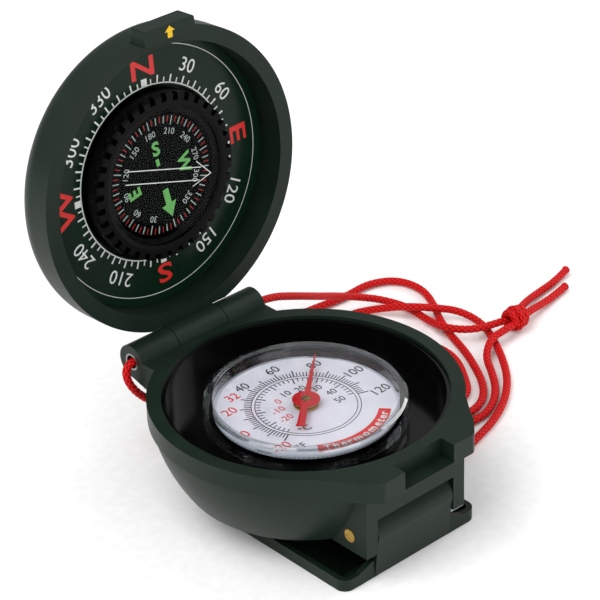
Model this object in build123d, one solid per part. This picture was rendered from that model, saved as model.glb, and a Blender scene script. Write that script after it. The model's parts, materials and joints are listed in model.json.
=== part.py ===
from build123d import *
import math
import os

# Folding pocket compass: a round clamshell case. The lid holds a liquid-filled compass in a turning bezel
# inside a fixed degree ring, the base holds a bimetal thermometer, and a mirror flap on a brass pin closes
# under the base and is the foot the case stands on. A lanyard runs through the tubular hinge pin.
# Millimetres. Origin on the ground under the centre of the base's rim. +Z up, +X along the lid hinge,
# -Y towards the latch. Lid parts are drawn closed, then turned open with the hinge.

# ---- driving dimensions ---------------------------------------------------------------------------------
RIM_TOP = 29.2            # rim face of the base above the ground
RIM_RADIUS = 37.0         # base rim, outside
RIM_WALL = 3.4            # rim wall, and the lid's
BAND_HEIGHT = 5.1         # straight band under the rim face
BAND_STEP = 0.7           # the bowl starts this much inside the band
BOWL_DEPTH = 22.0         # rim face to the outside of the bowl's floor
BOWL_FOOT_RADIUS = 28.9   # outside radius of the bowl's flat floor
BOWL_WALL = 1.8
PAD_RADIUS = 16.5         # round pad under the floor, inside the mirror tray
LID_OVERHANG = 0.5        # the lid stands this much outside the rim
LID_DEPTH = 12.5
LID_EDGE_ROUND = 6.5
LID_WALL = 1.2            # thickness of the lid's back
OPEN_ANGLE = 94.0         # lid angle from closed
HINGE_STAND = 2.95        # hinge axis behind the rim's outside
HINGE_DROP = 1.35         # hinge axis below the rim face
KNUCKLE_RADIUS = 4.3
BARREL_HALF = 19.5        # half length of the hinge barrel
MID_KNUCKLE_HALF = 7.7    # half length of the lid's own knuckle
HINGE_TUBE_RADIUS = 2.15
HINGE_TUBE_BORE = 1.7     # radius of the lanyard's way through
RUN_CLEAR = 0.05          # radial running clearance of shafts
GAP = 0.25                # clearance between moving shells
LATCH_HALF = 7.4          # half width of the latch tab
LATCH_DROP = 4.4          # tab reaches this far below the rim face
LATCH_STAND = 3.4         # tab and shoulder front face ahead of the rim's outside
LATCH_THICK = 3.8
SHOULDER_HALF = 14.2      # flat part of the shoulder in front of the rim
SHOULDER_FLARE = 6.2      # its sloping sides, each
RING_TOP = 7.5            # degree ring face behind the lid's rim face
RING_THICK = 1.2
TURN_FACE = 2.7           # turning bezel face behind the lid's rim face
TURN_DEPTH = 5.7
TEETH = 36
COLLAR_RADIUS = 19.1      # lid collar the bezel turns on
TURN_RADIUS = COLLAR_RADIUS + 1.5    # turning bezel, outside
RING_BORE = TURN_RADIUS + 0.8        # hole in the degree ring
COLLAR_WALL = 1.0
GLASS_TOP = 2.9
GLASS_THICK = 1.0
SEAL_THICK = 0.7
CUP_RADIUS = COLLAR_RADIUS - 1.3     # capsule, outside
CUP_WALL = 1.8
TURN_WINDOW = CUP_RADIUS - 0.9       # radius of the window in the turning bezel
CARD_RADIUS = CUP_RADIUS - CUP_WALL - 1.0
CARD_TOP = 4.75
CARD_THICK = 0.5
CARD_NORTH = 170.0        # card's north, clockwise from the latch seen from the rim side
THERMO_RADIUS = 24.0      # thermometer bezel, outside
THERMO_TOP = 0.9          # bezel's highest line below the rim face
THERMO_CUP_RADIUS = THERMO_RADIUS - 1.3
THERMO_CUP_DEPTH = 15.0
DIAL_RADIUS = THERMO_CUP_RADIUS - 1.0
DIAL_DROP = 4.3
LENS_THICK = 0.7
DIAL_THICK = 0.5
POINTER_ANGLE = 41.0      # pointer direction, from +X towards +Y
POINTER_LENGTH = DIAL_RADIUS - 1.9
POINTER_TAIL = 11.4
POINTER_HUB = 3.3         # radius of the pointer's disc
POINTER_DROP = 2.75       # pointer's underside below the rim face
LINER_FLOOR = 9.3         # liner floor below the rim face
LINER_WALL = 1.0
FLAP_PIN_INSET = 6.4      # flap pin behind the rim's foremost line
FLAP_PIN_DROP = 18.0
FLAP_PIN_RADIUS = 1.6
FLAP_KNUCKLE = 5.4
EAR_HALF = 15.5           # outside half width over the two ears
EAR_SLOT_RISE = 5.15      # the slot between the ears reaches this far above the pin at the front
EAR_WALL = 3.5
FLAP_HALF = 21.2          # half width of the mirror tray
FLAP_TOE = 4.0            # tray's front edge ahead of the pin
FLAP_BACK = 25.0
FLAP_FLOOR = 1.5
FLAP_LIP = 3.0            # tray height with its lip
FLAP_LIP_WALL = 1.4
FLAP_WALL = 2.2
FLAP_GUSSET = 6.2         # height of the rib behind the flap's front plate
MIRROR_THICK = 1.3
CORD_DIAMETER = 2.2
CORD_LIE = 1.15           # centre of the cord where it lies on the ground
CORD_KNOT_RADIUS = 3.4
CORD_KNOT_LENGTH = 6.0

RIM_BORE = RIM_RADIUS - RIM_WALL
LID_RADIUS = RIM_RADIUS + LID_OVERHANG
HINGE_Y = RIM_RADIUS + HINGE_STAND
LATCH_FRONT = RIM_RADIUS + LATCH_STAND
LATCH_BACK = LATCH_FRONT - LATCH_THICK
FLAP_PIN_Y = -RIM_RADIUS + FLAP_PIN_INSET
FLAP_FRONT = FLAP_PIN_Y - FLAP_TOE
HINGE_Z = RIM_TOP - HINGE_DROP
PIN_Z = RIM_TOP - FLAP_PIN_DROP
FLOOR_Z = RIM_TOP - BOWL_DEPTH
HINGE_AXIS = Axis((0, HINGE_Y, HINGE_Z), (1, 0, 0))


# ---- helpers --------------------------------------------------------------------------------------------
def tube(r_out, r_in, z0, z1):
    """Upright ring (or disc, with r_in 0) about the Z axis."""
    body = Pos(0, 0, (z0 + z1) / 2) * Cylinder(r_out, z1 - z0)
    return body - Pos(0, 0, (z0 + z1) / 2) * Cylinder(r_in, z1 - z0) if r_in > 0 else body


def block(x0, x1, y0, y1, z0, z1):
    return Pos((x0 + x1) / 2, (y0 + y1) / 2, (z0 + z1) / 2) * Box(x1 - x0, y1 - y0, z1 - z0)


def rod_x(radius, x0, x1, y, z):
    return Pos((x0 + x1) / 2, y, z) * Rot(0, 90, 0) * Cylinder(radius, x1 - x0)


def spun(points):
    """Solid of revolution about Z from a closed (radius, height) outline."""
    return revolve(Plane.XZ * make_face(Polyline(*points, close=True)), Axis.Z)


def opened(body):
    """Turn a lid part from the closed place to the open one."""
    return body.rotate(HINGE_AXIS, -OPEN_ANGLE)


def prism_x(points, x0, x1):
    """Extrude a closed (y, z) outline from x0 to x1."""
    face = Plane.YZ * make_face(Polyline(*points, close=True))
    return Pos(x0, 0, 0) * extrude(face, x1 - x0, dir=(1, 0, 0))


# ---- base -----------------------------------------------------------------------------------------------
def bowl_outline():
    top = RIM_RADIUS - BAND_STEP
    with BuildLine() as line:
        Line((0, FLOOR_Z), (BOWL_FOOT_RADIUS, FLOOR_Z))
        Line((BOWL_FOOT_RADIUS, FLOOR_Z), (BOWL_FOOT_RADIUS + 0.9, FLOOR_Z + 0.8))
        ThreePointArc((BOWL_FOOT_RADIUS + 0.9, FLOOR_Z + 0.8),
                      ((BOWL_FOOT_RADIUS + 0.9 + top) / 2 + 1.0, (FLOOR_Z + 0.8 + RIM_TOP - BAND_HEIGHT) / 2),
                      (top, RIM_TOP - BAND_HEIGHT))
        Polyline((top, RIM_TOP - BAND_HEIGHT), (RIM_RADIUS, RIM_TOP - BAND_HEIGHT + 0.3),
                 (RIM_RADIUS, RIM_TOP), (0, RIM_TOP), (0, FLOOR_Z))
    return revolve(Plane.XZ * make_face(line.line), Axis.Z)


def bowl_cavity():
    seat = RIM_TOP - LINER_FLOOR - LINER_WALL
    foot = BOWL_FOOT_RADIUS - 1.4
    with BuildLine() as line:
        Polyline((0, FLOOR_Z + BOWL_WALL), (foot, FLOOR_Z + BOWL_WALL))
        ThreePointArc((foot, FLOOR_Z + BOWL_WALL),
                      ((foot + RIM_BORE - 1.7) / 2 + 0.5, (FLOOR_Z + BOWL_WALL + seat) / 2),
                      (RIM_BORE - 1.7, seat))
        Polyline((RIM_BORE - 1.7, seat), (RIM_BORE, seat), (RIM_BORE, RIM_TOP + 1), (0, RIM_TOP + 1),
                 (0, FLOOR_Z + BOWL_WALL))
    return revolve(Plane.XZ * make_face(line.line), Axis.Z)


def shoulder():
    """Flared block round the latch, whose sloping sides run into the rim."""
    h, f, flare = SHOULDER_HALF, LATCH_FRONT, SHOULDER_FLARE
    root = (RIM_RADIUS - 0.5) * math.sqrt(0.5)
    side = [(h, -f), (h + flare - 2.2, -f + 4.0), (h + flare, -f + 7.4), (root, -root), (root - 5, -root + 6)]
    pts = side + [(-x, y) for x, y in reversed(side)]
    face = make_face(Polyline(*pts, close=True))
    body = Pos(0, 0, RIM_TOP - BAND_HEIGHT) * extrude(face, BAND_HEIGHT)
    edges = body.edges().filter_by(Axis.Z).filter_by(lambda e: e.center().Y < -f + 6)
    return fillet(edges, 2.0)


def base_case():
    case = bowl_outline()
    case += shoulder()
    # bridge behind the flap's knuckle, the two ears and the hood over the knuckle
    front = FLAP_PIN_Y - FLAP_KNUCKLE
    hood = FLAP_KNUCKLE + GAP + 1.5
    case += block(-EAR_HALF, EAR_HALF, front, FLAP_PIN_Y + 3.6, PIN_Z, RIM_TOP - BAND_HEIGHT)
    ear = prism_x([(front, RIM_TOP - BAND_HEIGHT), (front, PIN_Z - 1.4), (front + 1.2, PIN_Z - 2.6),
                   (FLAP_PIN_Y + 5.6, PIN_Z - 3.2), (FLAP_PIN_Y + 5.6, RIM_TOP - BAND_HEIGHT)], -EAR_HALF, EAR_HALF)
    case += ear
    case -= bowl_cavity()
    case += rod_x(hood, -EAR_HALF, EAR_HALF, FLAP_PIN_Y, PIN_Z) & block(
        -EAR_HALF, EAR_HALF, front, 0, FLOOR_Z, RIM_TOP - BAND_HEIGHT)
    case -= rod_x(FLAP_KNUCKLE + GAP, -EAR_HALF + EAR_WALL, EAR_HALF - EAR_WALL, FLAP_PIN_Y, PIN_Z)
    slot = EAR_HALF - EAR_WALL
    case -= block(-slot, slot, front - 1, FLAP_PIN_Y + 3, FLOOR_Z - 4, PIN_Z)
    case -= block(-slot, slot, front - 1, FLAP_PIN_Y, PIN_Z - 1, PIN_Z + EAR_SLOT_RISE)
    case -= rod_x(FLAP_PIN_RADIUS, -EAR_HALF - 1, EAR_HALF + 1, FLAP_PIN_Y, PIN_Z)
    # pad the mirror tray closes around
    pad_low = FLAP_FLOOR + MIRROR_THICK + 0.3
    case += tube(PAD_RADIUS, 0, pad_low, FLOOR_Z + 0.2)
    # latch notch
    case -= block(-LATCH_HALF - GAP, LATCH_HALF + GAP, -LATCH_FRONT - 1, -LATCH_BACK + GAP,
                  RIM_TOP - LATCH_DROP - 0.3, RIM_TOP + 1)
    # outer hinge knuckles with their webs, and room for the lid's knuckle
    for side in (-1, 1):
        x0, x1 = sorted((side * (MID_KNUCKLE_HALF + 0.1), side * BARREL_HALF))
        lug = rod_x(KNUCKLE_RADIUS, x0, x1, HINGE_Y, HINGE_Z)
        lug += prism_x([(HINGE_Y, HINGE_Z - KNUCKLE_RADIUS), (HINGE_Y, RIM_TOP - 0.1), (RIM_BORE - 6, RIM_TOP - 0.1),
                        (RIM_BORE - 6, RIM_TOP - 7.2), (RIM_RADIUS - 3, RIM_TOP - 7.2)], x0, x1)
        case += lug - tube(RIM_BORE, 0, 0, RIM_TOP + 5)
    case -= rod_x(KNUCKLE_RADIUS + GAP, -MID_KNUCKLE_HALF - 0.1, MID_KNUCKLE_HALF + 0.1, HINGE_Y, HINGE_Z)
    case -= rod_x(HINGE_TUBE_RADIUS, -BARREL_HALF - 1, BARREL_HALF + 1, HINGE_Y, HINGE_Z)
    return case


def recess_liner():
    z = RIM_TOP - LINER_FLOOR
    hole = THERMO_CUP_RADIUS + 0.1
    r = RIM_BORE
    return spun([(hole, z - LINER_WALL), (r, z - LINER_WALL), (r, RIM_TOP - 0.9), (r - LINER_WALL, RIM_TOP - 0.9),
                 (r - LINER_WALL, z), (hole, z)])


def hinge_tube():
    r, b, h = HINGE_TUBE_RADIUS, HINGE_TUBE_BORE, BARREL_HALF
    return rod_x(r, -h, h, HINGE_Y, HINGE_Z) - rod_x(b, -h - 1, h + 1, HINGE_Y, HINGE_Z)


# ---- flap under the base --------------------------------------------------------------------------------
def flap_pin():
    return rod_x(FLAP_PIN_RADIUS, -EAR_HALF - 0.15, EAR_HALF + 0.15, FLAP_PIN_Y, PIN_Z)


def tray_outline(inset):
    w, f, b = FLAP_HALF - inset, FLAP_FRONT + inset, FLAP_BACK - inset
    body = extrude(make_face(Polyline((-w, f), (w, f), (w, b), (-w, b), close=True)), 1)
    front = body.edges().filter_by(Axis.Z).filter_by(lambda e: e.center().Y < 0)
    back = body.edges().filter_by(Axis.Z).filter_by(lambda e: e.center().Y > 0)
    body = fillet(front, max(2.6 - inset, 0.6))
    back = body.edges().filter_by(Axis.Z).filter_by(lambda e: e.center().Y > 6)
    return fillet(back, max(14.0 - inset, 1.0)).faces().sort_by(Axis.Z)[0]


def flap_frame():
    inner = EAR_HALF - EAR_WALL - GAP
    tray = extrude(tray_outline(0), FLAP_LIP, dir=(0, 0, 1))
    tray -= Pos(0, 0, FLAP_FLOOR) * extrude(tray_outline(FLAP_LIP_WALL), FLAP_LIP, dir=(0, 0, 1))
    front = FLAP_PIN_Y - FLAP_KNUCKLE
    arm = prism_x([(front, PIN_Z), (FLAP_FRONT, 0), (FLAP_FRONT + FLAP_WALL, 0),
                   (front + FLAP_WALL + 0.4, PIN_Z - 1.0), (FLAP_PIN_Y, PIN_Z)], -inner, inner)
    gusset = prism_x([(FLAP_FRONT, 0), (front + 0.75, FLAP_GUSSET), (front + 2.75, FLAP_GUSSET),
                      (FLAP_FRONT + FLAP_WALL, 0)], -inner, inner)
    # the plate's side wings pass under the ears when the flap opens
    top, under = FLAP_GUSSET + 1.2, PIN_Z - FLAP_KNUCKLE - 1.05
    side = [(FLAP_HALF - 2.6, 0), (FLAP_HALF - 4.6, FLAP_LIP), (EAR_HALF - EAR_WALL, under), (inner, under),
            (inner, top)]
    wings = Polyline(*side, *[(-x, z) for x, z in reversed(side)], close=True)
    wing = Pos(0, FLAP_FRONT + FLAP_LIP_WALL, 0) * extrude(Plane.XZ * make_face(wings), FLAP_LIP_WALL,
                                                          dir=(0, -1, 0))
    frame = tray + arm + gusset + wing
    frame += rod_x(FLAP_KNUCKLE, -inner, inner, FLAP_PIN_Y, PIN_Z)
    frame -= rod_x(FLAP_PIN_RADIUS + RUN_CLEAR, -inner - 1, inner + 1, FLAP_PIN_Y, PIN_Z)
    return frame


def flap_mirror():
    plate = extrude(tray_outline(FLAP_LIP_WALL + 0.15), MIRROR_THICK, dir=(0, 0, 1))
    plate -= block(-60, 60, -60, FLAP_FRONT + FLAP_WALL + 0.6, -1, 9)
    return Pos(0, 0, FLAP_FLOOR) * plate


# ---- lid, drawn closed ----------------------------------------------------------------------------------
def lid_z(depth):
    """Height of a lid feature this far behind the lid's rim face, lid closed."""
    return RIM_TOP + depth


def lid_shell():
    inner_back = LID_DEPTH - LID_WALL
    shelf = RING_TOP + RING_THICK
    c_in = COLLAR_RADIUS - COLLAR_WALL
    collar_top = TURN_FACE + 2.2
    body = tube(LID_RADIUS, 0, RIM_TOP, lid_z(LID_DEPTH))
    body = fillet(body.edges().filter_by(GeomType.CIRCLE).sort_by(Axis.Z)[-1], LID_EDGE_ROUND)
    cavity = spun([(0, RIM_TOP - 1), (RIM_BORE, RIM_TOP - 1), (RIM_BORE, lid_z(shelf)),
                   (RIM_BORE - 1.7, lid_z(shelf)), (RIM_BORE - 3.1, lid_z(inner_back)),
                   (0, lid_z(inner_back))])
    body -= cavity
    body += tube(RING_BORE + 1.5, RING_BORE, lid_z(shelf), lid_z(inner_back + 0.2))
    collar = tube(COLLAR_RADIUS, c_in, lid_z(collar_top), lid_z(inner_back + 0.2))
    collar -= tube(COLLAR_RADIUS + 1, COLLAR_RADIUS - 0.55, lid_z(6.9), lid_z(7.7))
    body += collar
    # latch tab
    tab = block(-LATCH_HALF, LATCH_HALF, -LATCH_FRONT, -LATCH_BACK, lid_z(-LATCH_DROP), lid_z(1.3))
    tab = fillet(tab.edges().filter_by(Axis.Y).filter_by(lambda e: e.center().Z > lid_z(0)), 0.9)
    tab = fillet(tab.edges().filter_by(Axis.Z).filter_by(lambda e: e.center().Y < -LATCH_FRONT + 0.5), 0.8)
    body += tab
    body += block(-LATCH_HALF, LATCH_HALF, -LATCH_BACK - 0.5, -RIM_BORE - 0.6, RIM_TOP, lid_z(1.3))
    # middle knuckle and its web, clear of the base's knuckles
    for side in (-1, 1):
        x0, x1 = sorted((side * MID_KNUCKLE_HALF, side * (BARREL_HALF + 6)))
        body -= rod_x(KNUCKLE_RADIUS + GAP, x0, x1, HINGE_Y, HINGE_Z)
    m = MID_KNUCKLE_HALF - 0.1
    web = prism_x([(RIM_BORE + 1.0, RIM_TOP + 0.1), (RIM_BORE + 1.0, lid_z(7.0)), (LID_RADIUS - 0.2, lid_z(7.0)),
                   (HINGE_Y + 2.5, HINGE_Z + 3.4), (HINGE_Y, HINGE_Z), (HINGE_Y - 2.0, RIM_TOP + 0.1)], -m, m)
    body += rod_x(KNUCKLE_RADIUS, -m, m, HINGE_Y, HINGE_Z)
    body += web
    body -= rod_x(HINGE_TUBE_RADIUS + RUN_CLEAR, -m - 1, m + 1, HINGE_Y, HINGE_Z)
    # pocket for the index arrow in the tab
    return body - index_arrow(0)


def index_arrow(raise_by=0.05):
    """Yellow arrow let 0.4 mm into the tab's rim-side face, pointing outwards."""
    tip, root = -LATCH_FRONT + 0.5, -LATCH_BACK - 0.45
    mid = (tip + root) / 2 - 0.1
    pts = [(0, tip), (1.45, mid), (0.7, mid), (0.7, root), (-0.7, root), (-0.7, mid), (-1.45, mid)]
    face = make_face(Polyline(*pts, close=True))
    z = lid_z(-LATCH_DROP)
    return Pos(0, 0, z - raise_by) * extrude(face, 0.4 + raise_by)


def degree_ring():
    return tube(RIM_BORE - 0.1, RING_BORE + 0.05, lid_z(RING_TOP), lid_z(RING_TOP + RING_THICK))


def ring_clip():
    """Open wire clip that keeps the turning bezel on the lid's collar."""
    clip = tube(COLLAR_RADIUS + 0.35, COLLAR_RADIUS - 0.5, lid_z(7.0), lid_z(7.6))
    return clip - block(-5, 5, 10, 30, lid_z(6), lid_z(9))


def bearing_ring():
    """Knurled bezel that turns on the lid's collar and carries the capsule."""
    face, inner = TURN_FACE, COLLAR_RADIUS + 0.1
    low = face + TURN_DEPTH
    web = GLASS_TOP + GLASS_THICK + SEAL_THICK
    ring = spun([(TURN_RADIUS - 0.5, lid_z(face)), (TURN_RADIUS, lid_z(face + 0.5)), (TURN_RADIUS, lid_z(low)),
                 (inner, lid_z(low)), (inner, lid_z(7.8)), (inner + 0.45, lid_z(7.8)), (inner + 0.45, lid_z(6.8)),
                 (inner, lid_z(6.8)), (inner, lid_z(web)), (TURN_WINDOW, lid_z(web)),
                 (TURN_WINDOW, lid_z(GLASS_TOP)), (TURN_WINDOW + 0.9, lid_z(face))])
    notch = block(TURN_WINDOW + 1.9, TURN_RADIUS + 1, -0.75, 0.75, lid_z(face - 1), lid_z(face + 1.5))
    for i in range(TEETH):
        ring -= Rot(0, 0, 360 / TEETH * (i + 0.5)) * notch
    return ring


def capsule_cup():
    top = GLASS_TOP + GLASS_THICK + SEAL_THICK
    inner = CUP_RADIUS - CUP_WALL
    low = LID_DEPTH - LID_WALL - 0.4
    cup = spun([(0, lid_z(low)), (CUP_RADIUS, lid_z(low)), (CUP_RADIUS, lid_z(top)), (inner, lid_z(top)),
                (inner, lid_z(low - 1.0)), (0, lid_z(low - 1.0))])
    cup -= Pos(0, -9, lid_z(low - 0.5)) * Cylinder(1.0, 2)
    return cup - Pos(0, 0, lid_z(low - 0.6)) * Cylinder(0.6, 0.8)


def fill_plug():
    low = LID_DEPTH - LID_WALL - 0.4
    return Pos(0, -9, lid_z(low - 0.5)) * Cylinder(1.0, 1.0)


def capsule_seal():
    z = GLASS_TOP + GLASS_THICK
    return tube(TURN_WINDOW, TURN_WINDOW - 1.3, lid_z(z), lid_z(z + SEAL_THICK))


def capsule_glass():
    return tube(TURN_WINDOW, 0, lid_z(GLASS_TOP), lid_z(GLASS_TOP + GLASS_THICK))


def pivot_needle():
    """Steel point under the card's jewel; its foot is pressed into the cup's floor."""
    low = LID_DEPTH - LID_WALL - 0.4
    tip = CARD_TOP + CARD_THICK + 1.35
    foot = low - 0.2
    return spun([(0, lid_z(foot)), (0.6, lid_z(foot)), (0.6, lid_z(tip + 1.4)), (0.12, lid_z(tip)),
                 (0, lid_z(tip))])


def compass_card():
    card = tube(CARD_RADIUS, 0, lid_z(CARD_TOP), lid_z(CARD_TOP + CARD_THICK))
    return Rot(0, 0, 180 + CARD_NORTH) * card


def card_magnet():
    """Bar magnet under the card, along its north line, bored for the jewel."""
    z = CARD_TOP + CARD_THICK
    bar = block(-1.6, 1.6, -8.5, 8.5, lid_z(z), lid_z(z + 1.5))
    bar = Rot(0, 0, CARD_NORTH) * bar
    return bar - Pos(0, 0, lid_z(z + 0.75)) * Cylinder(1.1, 2)


def card_jewel():
    """Glass bearing cup that rides on the needle's point."""
    z = CARD_TOP + CARD_THICK
    return spun([(0, lid_z(z)), (1.1, lid_z(z)), (1.1, lid_z(z + 2.3)), (0.9, lid_z(z + 2.3)), (0.35, lid_z(z + 1.32)),
                 (0, lid_z(z + 1.3))])


# ---- thermometer ----------------------------------------------------------------------------------------
def thermometer_cup():
    """Black can with a flange that sits on the liner's floor."""
    top, low = RIM_TOP - DIAL_DROP - DIAL_THICK, RIM_TOP - THERMO_CUP_DEPTH
    flange = RIM_TOP - LINER_FLOOR
    r = THERMO_CUP_RADIUS
    can = spun([(0, low), (r, low), (r, flange), (r + 1.2, flange), (r + 1.2, flange + 1.0), (r, flange + 1.0),
                (r, top), (r - 1.0, top), (r - 1.0, low + 1.2), (0, low + 1.2)])
    return can - Pos(0, 0, low) * Cylinder(1.6, 4)


def spindle_bush():
    low = RIM_TOP - THERMO_CUP_DEPTH
    return tube(1.6, 0.7 + RUN_CLEAR, low, low + 2.4)


def coil_post():
    low = RIM_TOP - THERMO_CUP_DEPTH + 1.2
    return Pos(9.72, 0, low + 2.6) * Cylinder(0.8, 5.2)


def bimetal_coil():
    """Flat spiral strip of four turns around the spindle; the outer end meets its post."""
    low = RIM_TOP - THERMO_CUP_DEPTH + 2.4
    pitch, turns, thick, r0 = 1.75, 4, 0.35, 1.55
    steps = 24 * turns
    outer, inner = [], []
    for i in range(steps + 1):
        a = 2 * math.pi * i / 24
        r = r0 + pitch * i / 24
        outer.append(((r + thick) * math.cos(a), (r + thick) * math.sin(a)))
        inner.append((r * math.cos(a), r * math.sin(a)))
    face = make_face([Spline(*outer), Line(outer[-1], inner[-1]), Spline(*inner), Line(inner[0], outer[0])])
    return Pos(0, 0, low) * extrude(face, 3.4)


def thermometer_dial():
    z = RIM_TOP - DIAL_DROP
    return tube(DIAL_RADIUS, 0.95, z - DIAL_THICK, z)


def thermometer_bezel():
    top, z = RIM_TOP - THERMO_TOP, RIM_TOP - DIAL_DROP
    r, low = THERMO_RADIUS, RIM_TOP - DIAL_DROP - 2.2
    cup = THERMO_CUP_RADIUS
    seat = top - 0.15
    return spun([(cup, low), (r, low), (r, top - 1.1), (r - 0.35, top - 0.45), (r - 1.0, top - 0.05), (r - 1.6, top),
                 (r - 2.3, seat - 0.05), (r - 2.3, seat - 0.2), (r - 1.1, seat - 0.2), (r - 1.1, seat - 0.2 - LENS_THICK),
                 (DIAL_RADIUS + 0.1, seat - 0.2 - LENS_THICK), (DIAL_RADIUS - 0.7, z + 0.35), (DIAL_RADIUS - 0.7, z),
                 (DIAL_RADIUS, z), (DIAL_RADIUS, z - DIAL_THICK), (cup, z - DIAL_THICK)])


def thermometer_lens():
    seat = RIM_TOP - THERMO_TOP - 0.15 - 0.2
    return tube(THERMO_RADIUS - 1.1, 0, seat - LENS_THICK, seat)


def pointer_spindle():
    """Brass arbor through the bush, coil and dial, with the collar under the pointer."""
    low = RIM_TOP - THERMO_CUP_DEPTH + 0.3
    z = RIM_TOP - POINTER_DROP
    dial = RIM_TOP - DIAL_DROP
    flange, waist = POINTER_HUB - 0.3, POINTER_HUB - 0.9
    return spun([(0, low), (0.7, low), (0.7, dial + 0.25), (flange, dial + 0.25), (flange, dial + 0.6),
                 (waist, dial + 0.8), (waist, z - 0.55), (flange, z - 0.4), (flange, z), (0.45, z),
                 (0.45, z + 0.5), (0, z + 0.5)])


def pointer():
    z = RIM_TOP - POINTER_DROP
    length, tail = POINTER_LENGTH, POINTER_TAIL
    pts = [(length, 0.12), (1.6, 0.75), (-tail + 1, 0.95), (-tail, 1.15), (-tail, -1.15), (-tail + 1, -0.95),
           (1.6, -0.75), (length, -0.12)]
    body = extrude(make_face(Polyline(*pts, close=True)), 0.3)
    body += Pos(0, 0, 0.15) * Cylinder(POINTER_HUB, 0.3)
    body -= Cylinder(0.45, 2)
    return Pos(0, 0, z) * Rot(0, 0, POINTER_ANGLE) * body


def pointer_rivet():
    z = RIM_TOP - POINTER_DROP + 0.3
    return spun([(0.45, z), (1.15, z), (1.1, z + 0.2), (0.7, z + 0.32), (0, z + 0.35), (0, z + 0.2), (0.45, z + 0.2)])


# ---- lanyard --------------------------------------------------------------------------------------------
# Each side of the cord starts at the middle of the hinge tube, leaves by its own end and ends past the knot.
LIE = CORD_LIE
RIGHT_ROUTE = [
    (0, HINGE_Y, HINGE_Z), (BARREL_HALF - 7.3, HINGE_Y, HINGE_Z - 0.06),
    (BARREL_HALF + 4.9, HINGE_Y, HINGE_Z - 0.25), (BARREL_HALF + 15.6, HINGE_Y + 1.85, HINGE_Z - 5.25),
    (46.4, 46.2, 16), (57.4, 50.9, 9.6), (67, 53.2, 4.4), (74, 51, 1.6),
    (76.6, 43.6, LIE), (74.8, 35.2, 1.6), (72.6, 26.9, 3.6), (76.4, 21.1, 3.6), (82.6, 18.8, 3.6),
    (88.2, 18, 3.4), (93.6, 19.8, 3.1), (100.2, 22.8, 2), (107.5, 24.6, LIE), (114.4, 25.4, 1.2),
    (120.4, 27.2, 1.5)]
LEFT_ROUTE = [
    (0, HINGE_Y, HINGE_Z), (-BARREL_HALF + 10.9, HINGE_Y + 0.05, HINGE_Z),
    (-BARREL_HALF + 3.1, HINGE_Y, HINGE_Z), (-BARREL_HALF - 1.8, HINGE_Y - 0.1, HINGE_Z - 0.15),
    (-BARREL_HALF - 2.7, HINGE_Y - 1.05, HINGE_Z - 3.25), (-BARREL_HALF - 0.7, HINGE_Y - 1.95, HINGE_Z - 7.45),
    (-BARREL_HALF + 4.9, HINGE_Y - 1.35, HINGE_Z - 13.05), (-6.8, 41.6, 9.2),
    (2.6, 45.6, 4.4), (13, 50.6, 1.6), (25, 55.4, LIE), (37.2, 59.6, LIE), (48.8, 62, LIE),
    (59.6, 61, LIE), (68.6, 59.6, LIE), (77.5, 60.5, LIE), (84.6, 56.6, LIE), (86.2, 48.4, LIE),
    (82.4, 40.1, LIE), (77.4, 32.8, LIE), (74, 25.4, LIE), (71.2, 17.8, LIE), (67.6, 10.8, LIE),
    (63.6, 4.2, LIE), (59.2, -0.6, LIE), (54.2, -3.4, LIE), (48.4, -3.6, LIE), (43.4, -0.6, LIE),
    (41, 4.8, LIE), (41.2, 11.2, LIE), (43.4, 18.8, LIE), (48, 26, LIE), (54.6, 31, LIE),
    (61.6, 31.6, LIE), (66.6, 27.8, LIE), (67.8, 21.6, LIE), (66.2, 15.4, LIE), (62.6, 9.8, LIE),
    (57.7, 3.2, LIE), (52.5, 1.8, LIE), (47.9, 3.9, LIE), (45.5, 8.6, LIE), (46.4, 14.4, LIE),
    (48.6, 20.2, 2), (50.6, 26.2, 3.8), (51.8, 32.4, 3.6), (51.8, 38.8, 1.4), (53, 45.4, LIE),
    (57.2, 50.4, LIE), (63.4, 52.2, LIE), (69, 49, 1.5), (72.8, 41.6, 3.9), (77.4, 35.8, 3.9),
    (82.8, 31.2, 2.8), (84.4, 23.8, LIE), (79.6, 14.9, LIE), (74.8, 7.6, LIE), (69, 0.5, LIE),
    (61.6, -5.6, LIE), (53.2, -10, LIE), (45.4, -12.4, LIE), (39.2, -14, LIE), (33.3, -13.6, LIE),
    (28.4, -11.2, LIE), (26.1, -6.1, LIE), (27.6, -0.8, LIE), (32.3, 2.1, LIE), (37.8, 1.2, LIE),
    (41.4, -3.2, LIE), (46.6, -6.6, LIE), (52.8, -7, LIE), (58.5, -4.6, LIE), (63.8, -0.3, LIE),
    (68.4, 5.4, LIE), (72.2, 11.4, 1.6), (77.2, 14.3, 3.6), (82.8, 14.6, 3.7), (88.6, 15.6, 3.3),
    (94.8, 17.4, 3), (101.2, 18.8, 1.9), (107.6, 20.2, LIE), (113.9, 21.6, 1.2)]
KNOT_CENTRE = (89.3, 17.0, CORD_KNOT_RADIUS + 0.1)


def corner_radii(points):
    """Largest fillet radius that the two runs at each corner allow, nine tenths of it used."""
    pts = [Vector(*p) for p in points]
    radii = []
    for a, b, c in zip(pts, pts[1:], pts[2:]):
        before, after = b - a, c - b
        turn = math.radians(before.get_angle(after))
        radii.append(0.45 * min(before.length, after.length) / math.tan(turn / 2))
    return radii


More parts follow.
